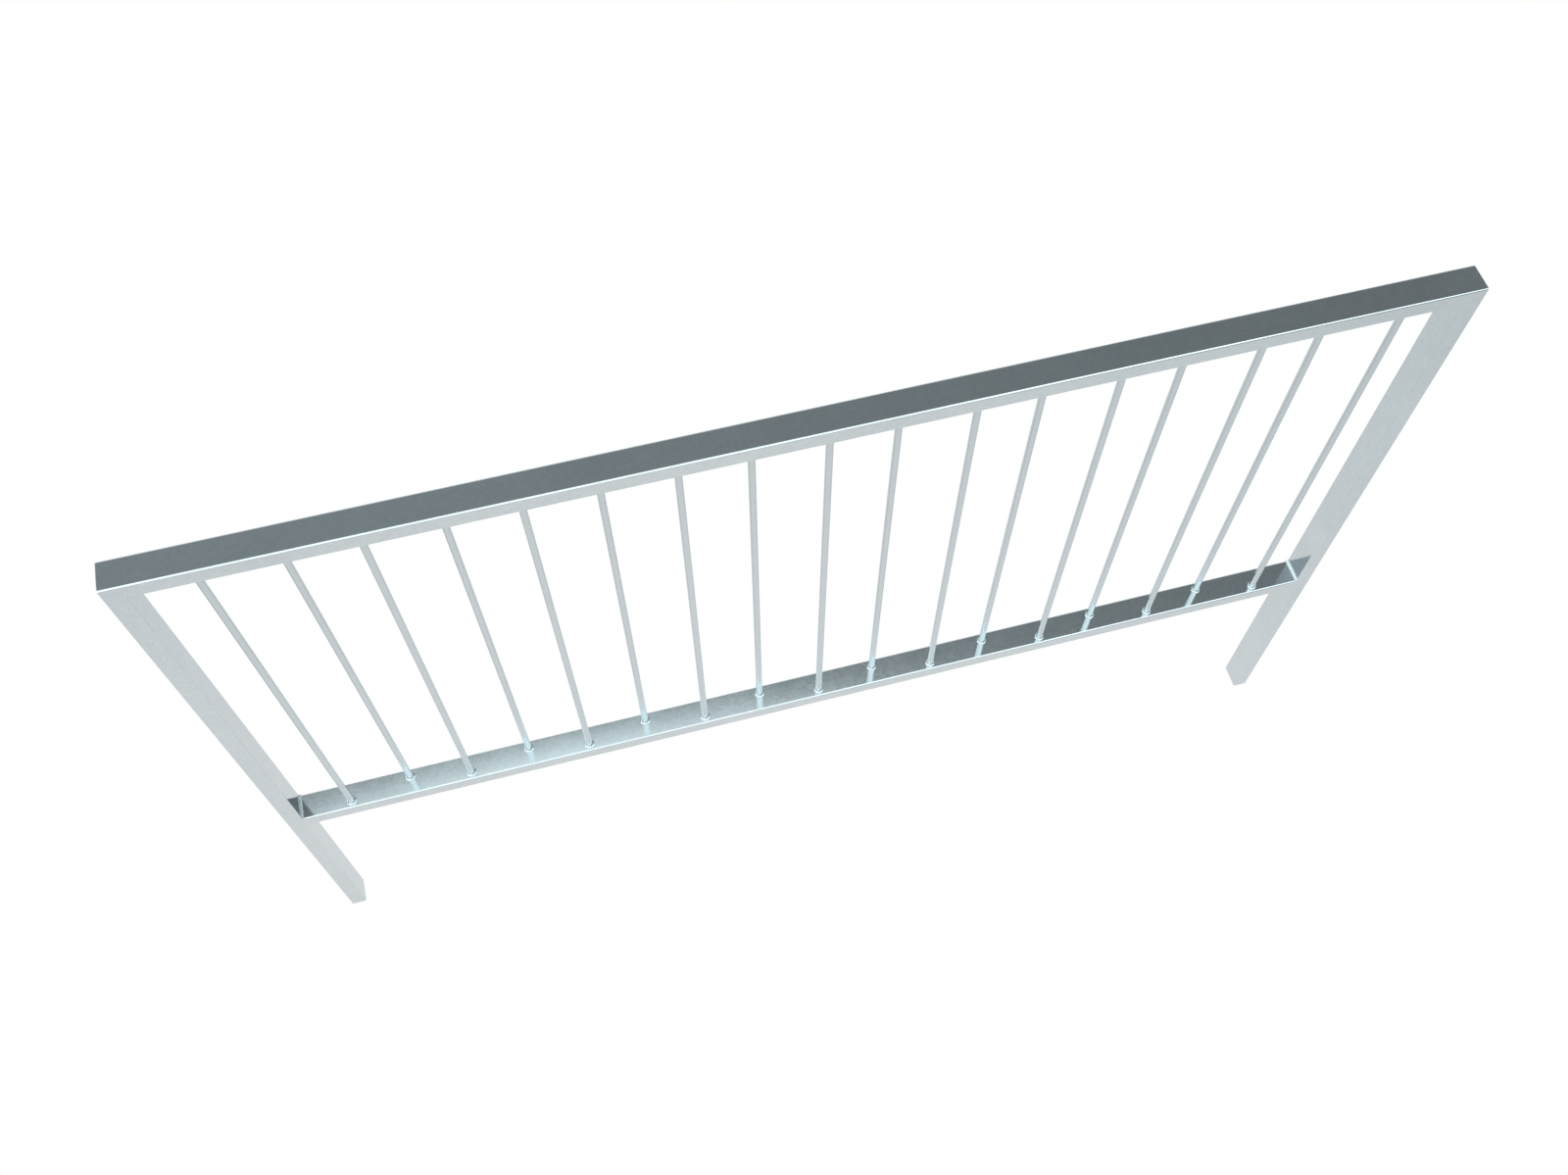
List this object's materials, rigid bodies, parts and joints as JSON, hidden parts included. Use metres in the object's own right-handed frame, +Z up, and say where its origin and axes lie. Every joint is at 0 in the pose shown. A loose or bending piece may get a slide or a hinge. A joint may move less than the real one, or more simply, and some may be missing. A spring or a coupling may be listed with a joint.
{
  "type": "root-fixed pedestrian guard barrier",
  "caption": "Fixed crowd and pedestrian barrier: galvanised tube frame with two legs to set in the ground, and upright round bars in two staggered rows.",
  "frame": {"origin": "midway between the two legs, at the level of their lower ends", "axes": "+X along the barrier from the left post to the right post as seen from the front, +Y from the front to the back, +Z up"},
  "size_m": [2.075, 0.05, 1.4],
  "materials": {
    "galvanised_tube": "hot-dip galvanised, smooth, with a fine mottle",
    "galvanised_bar": "hot-dip galvanised, smooth",
    "galvanised_weld": "hot-dip galvanised over the weld bead"
  },
  "bodies": {
    "root": {"bar_01": "galvanised_bar", "bar_02": "galvanised_bar", "bar_03": "galvanised_bar", "bar_04": "galvanised_bar", "bar_05": "galvanised_bar", "bar_06": "galvanised_bar", "bar_07": "galvanised_bar", "bar_08": "galvanised_bar", "bar_09": "galvanised_bar", "bar_10": "galvanised_bar", "bar_11": "galvanised_bar", "bar_12": "galvanised_bar", "bar_13": "galvanised_bar", "bar_14": "galvanised_bar", "bar_15": "galvanised_bar", "bar_16": "galvanised_bar", "bar_17": "galvanised_bar", "bottom_rail": "galvanised_tube", "left_mitre_weld": "galvanised_weld", "left_post": "galvanised_tube", "left_rail_weld": "galvanised_weld", "lower_weld_01": "galvanised_weld", "lower_weld_02": "galvanised_weld", "lower_weld_03": "galvanised_weld", "lower_weld_04": "galvanised_weld", "lower_weld_05": "galvanised_weld", "lower_weld_06": "galvanised_weld", "lower_weld_07": "galvanised_weld", "lower_weld_08": "galvanised_weld", "lower_weld_09": "galvanised_weld", "lower_weld_10": "galvanised_weld", "lower_weld_11": "galvanised_weld", "lower_weld_12": "galvanised_weld", "lower_weld_13": "galvanised_weld", "lower_weld_14": "galvanised_weld", "lower_weld_15": "galvanised_weld", "lower_weld_16": "galvanised_weld", "lower_weld_17": "galvanised_weld", "right_mitre_weld": "galvanised_weld", "right_post": "galvanised_tube", "right_rail_weld": "galvanised_weld", "top_rail": "galvanised_tube", "upper_weld_01": "galvanised_weld", "upper_weld_02": "galvanised_weld", "upper_weld_03": "galvanised_weld", "upper_weld_04": "galvanised_weld", "upper_weld_05": "galvanised_weld", "upper_weld_06": "galvanised_weld", "upper_weld_07": "galvanised_weld", "upper_weld_08": "galvanised_weld", "upper_weld_09": "galvanised_weld", "upper_weld_10": "galvanised_weld", "upper_weld_11": "galvanised_weld", "upper_weld_12": "galvanised_weld", "upper_weld_13": "galvanised_weld", "upper_weld_14": "galvanised_weld", "upper_weld_15": "galvanised_weld", "upper_weld_16": "galvanised_weld", "upper_weld_17": "galvanised_weld"}
  },
  "joints": []
}
